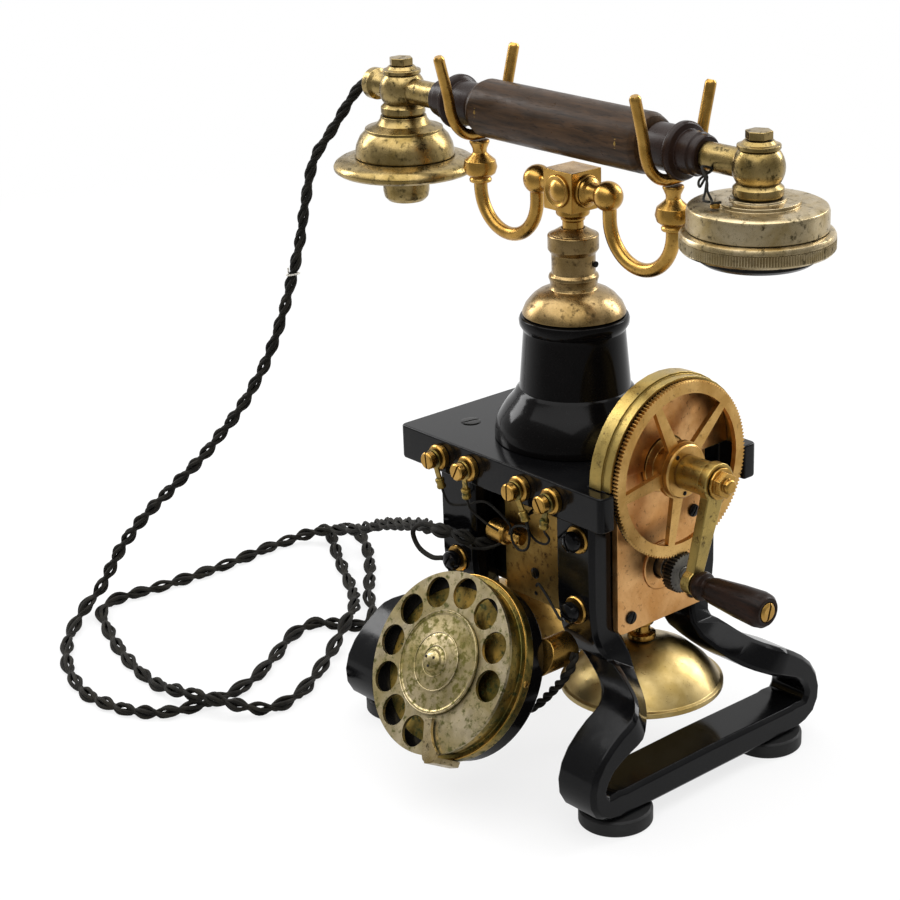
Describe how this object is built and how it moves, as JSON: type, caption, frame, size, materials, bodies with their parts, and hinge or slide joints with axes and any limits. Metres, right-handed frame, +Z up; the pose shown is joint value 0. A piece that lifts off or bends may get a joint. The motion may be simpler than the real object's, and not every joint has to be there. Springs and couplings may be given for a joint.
{
  "type": "telephone",
  "caption": "Antique skeleton desk telephone: lyre frame, crank-driven magneto with open gear, finger dial, twin bells and a handset with corded receiver on a sprung cradle.",
  "frame": {"origin": "on the table, under the middle of the outline without the cord", "axes": "+Z up, the dial towards -Y, the crank on the +X side"},
  "size_m": [0.3964, 0.2187, 0.2993],
  "materials": {
    "black_japan": "gloss",
    "ebonized_wood": "polished",
    "dark_wood": "satin",
    "gold_brass": "polished, worn",
    "dull_brass": "worn nickel over brass",
    "copper_brass": "brushed",
    "dark_steel": "dark",
    "ebonite": "satin",
    "black_rubber": "matt",
    "cord_cloth": "twisted cloth"
  },
  "bodies": {
    "base": {"frame_left": "black_japan", "frame_right": "black_japan", "foot_front_left": "black_rubber", "foot_front_right": "black_rubber", "foot_rear_left": "black_rubber", "foot_rear_right": "black_rubber", "top_plate": "black_japan", "column": "ebonized_wood", "column_cap": "dull_brass", "magneto_plate_right": "copper_brass", "magneto_plate_left": "copper_brass", "magneto_base": "copper_brass", "front_panel": "copper_brass", "magnet_bank": "dark_steel", "axle_bearing": "copper_brass", "gear_guard": "dull_brass", "dial_base": "ebonized_wood", "dial_case": "dull_brass", "finger_stop": "dull_brass", "dial_pillar_left": "gold_brass", "dial_pillar_right": "gold_brass", "contact_barrel": "gold_brass", "gong_left": "dull_brass", "gong_right": "dull_brass", "gong_post_left": "gold_brass", "gong_post_right": "gold_brass", "terminal_1": "gold_brass", "terminal_2": "gold_brass", "terminal_3": "gold_brass", "terminal_4": "gold_brass", "cord": "cord_cloth"},
    "cradle": {"cradle_block": "gold_brass", "cradle_arm_left": "gold_brass", "cradle_arm_right": "gold_brass", "cradle_fork_left": "gold_brass", "cradle_fork_right": "gold_brass"},
    "handset": {"handset_grip": "dark_wood", "receiver_collar": "ebonized_wood", "transmitter_collar": "ebonized_wood", "receiver_joint": "dull_brass", "transmitter_joint": "dull_brass", "receiver_nut": "dull_brass", "transmitter_nut": "dull_brass", "cord_boss": "dull_brass", "receiver_shell": "dull_brass", "receiver_rim": "dull_brass", "receiver_earpiece": "dull_brass", "transmitter_case": "dull_brass", "transmitter_ring": "dull_brass", "transmitter_mouthpiece": "ebonite"},
    "crank": {"main_gear": "copper_brass", "crank_arm": "gold_brass", "crank_nut": "gold_brass", "handle_pin": "gold_brass"},
    "crank_handle": {"crank_handle": "dark_wood"},
    "armature": {"armature": "dark_steel", "pinion": "dark_steel"},
    "finger_wheel": {"finger_wheel": "dull_brass", "dial_centre": "dull_brass"},
    "clapper": {"clapper": "dark_steel"}
  },
  "joints": [
    {"name": "handset_lift", "type": "slide", "parent": "base", "child": "handset", "axis": [0, 0, 1], "range_m": [0, 0.06], "deforming": ["cord"]},
    {"name": "cradle_rise", "type": "slide", "parent": "base", "child": "cradle", "axis": [0, 0, 1], "range_m": [0, 0.004]},
    {"name": "crank_turn", "type": "hinge", "parent": "base", "child": "crank", "pos_m": [0.0693, 0.01667, 0.1413], "axis": [1, 0, 0], "continuous": true},
    {"name": "handle_spin", "type": "hinge", "parent": "crank", "child": "crank_handle", "pos_m": [0.1043, 0.0036, 0.10107], "axis": [1, 0, 0], "continuous": true},
    {"name": "armature_turn", "type": "hinge", "parent": "base", "child": "armature", "pos_m": [0.0668, 0.01667, 0.0954], "axis": [1, 0, 0], "continuous": true},
    {"name": "dial_turn", "type": "hinge", "parent": "base", "child": "finger_wheel", "pos_m": [0.0043, -0.06393, 0.0596], "axis": [0, 0.866, -0.5], "range_deg": [0, 320], "stiffness_Nm_per_rad": 0.012},
    {"name": "clapper_swing", "type": "hinge", "parent": "base", "child": "clapper", "pos_m": [0.0043, 0.01667, 0.067], "axis": [0, 1, 0], "range_deg": [-2.5, 2.5]}
  ],
  "couplings": [
    {"joint": "cradle_rise", "follows": "handset_lift", "ratio": 0.06666},
    {"joint": "armature_turn", "follows": "crank_turn", "ratio": -4.5}
  ]
}
